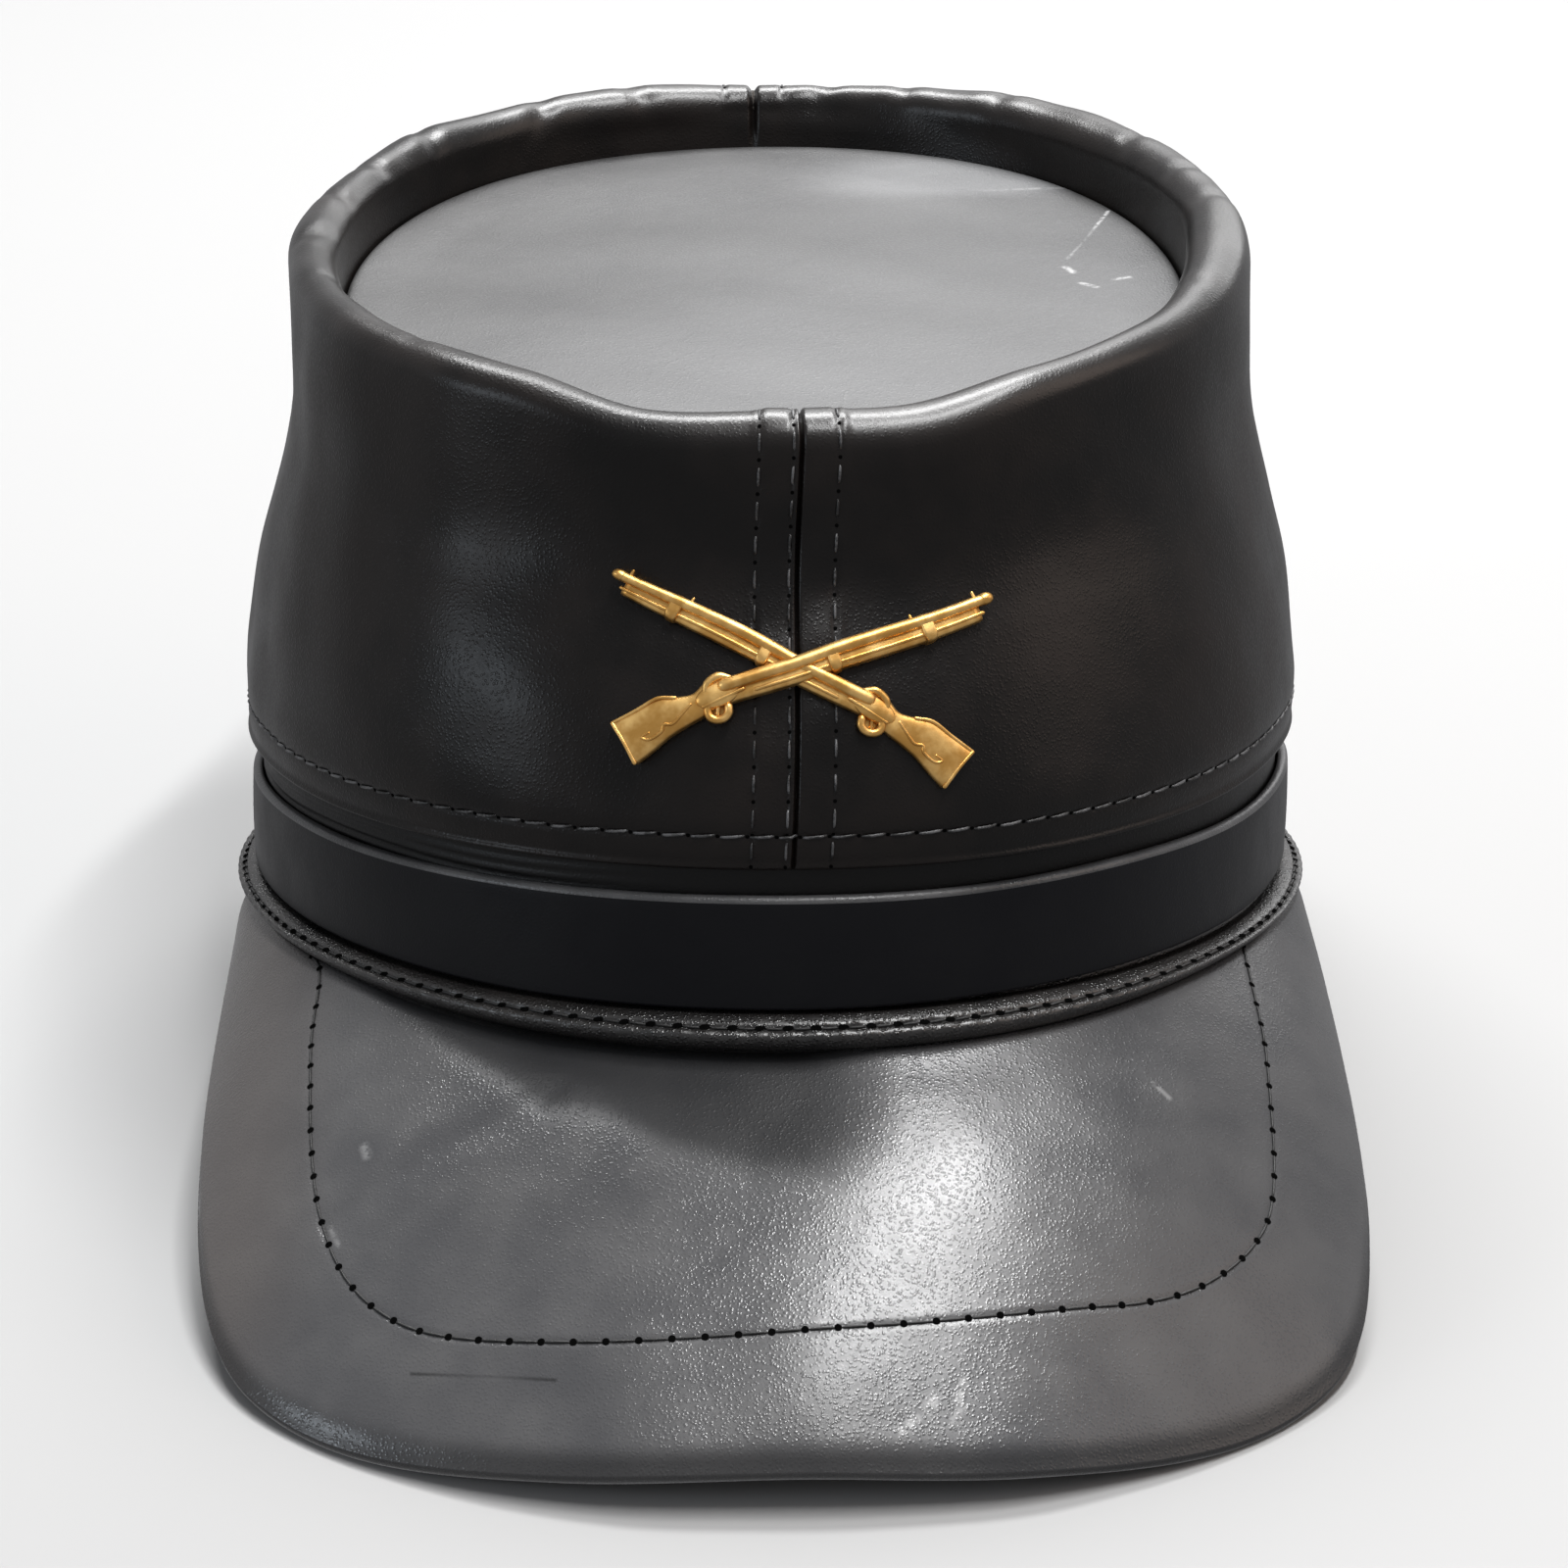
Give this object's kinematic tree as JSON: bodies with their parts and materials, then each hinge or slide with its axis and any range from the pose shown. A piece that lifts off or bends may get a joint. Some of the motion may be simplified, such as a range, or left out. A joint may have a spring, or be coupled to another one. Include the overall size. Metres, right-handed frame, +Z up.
{
  "type": "kepi cap",
  "caption": "Leather kepi: tapered two-panel crown with a rolled rim and sunken sloping top, base band, smooth strap, stitched peak and a pinned metal badge.",
  "frame": {"origin": "under the middle of the bounding box, on the surface that the cap rests on", "axes": "+Z up, the peak towards -Y; left and right are as seen from the front, so right is +X. The cap lies as it does by itself, on the peak's front edge and the back of its base band"},
  "size_m": [0.175, 0.2668, 0.1265],
  "materials": {
    "crown_leather": "semi-gloss",
    "top_leather": "satin",
    "strap_leather": "satin",
    "peak_leather": "satin",
    "badge_brass": "polished"
  },
  "bodies": {
    "root": {"crown_panel_right": "crown_leather", "crown_panel_left": "crown_leather", "sunken_top": "top_leather", "base_band": "crown_leather", "hat_strap": "strap_leather", "peak": "peak_leather", "badge": "badge_brass", "badge_clutch_left": "badge_brass", "badge_clutch_right": "badge_brass"}
  },
  "joints": []
}
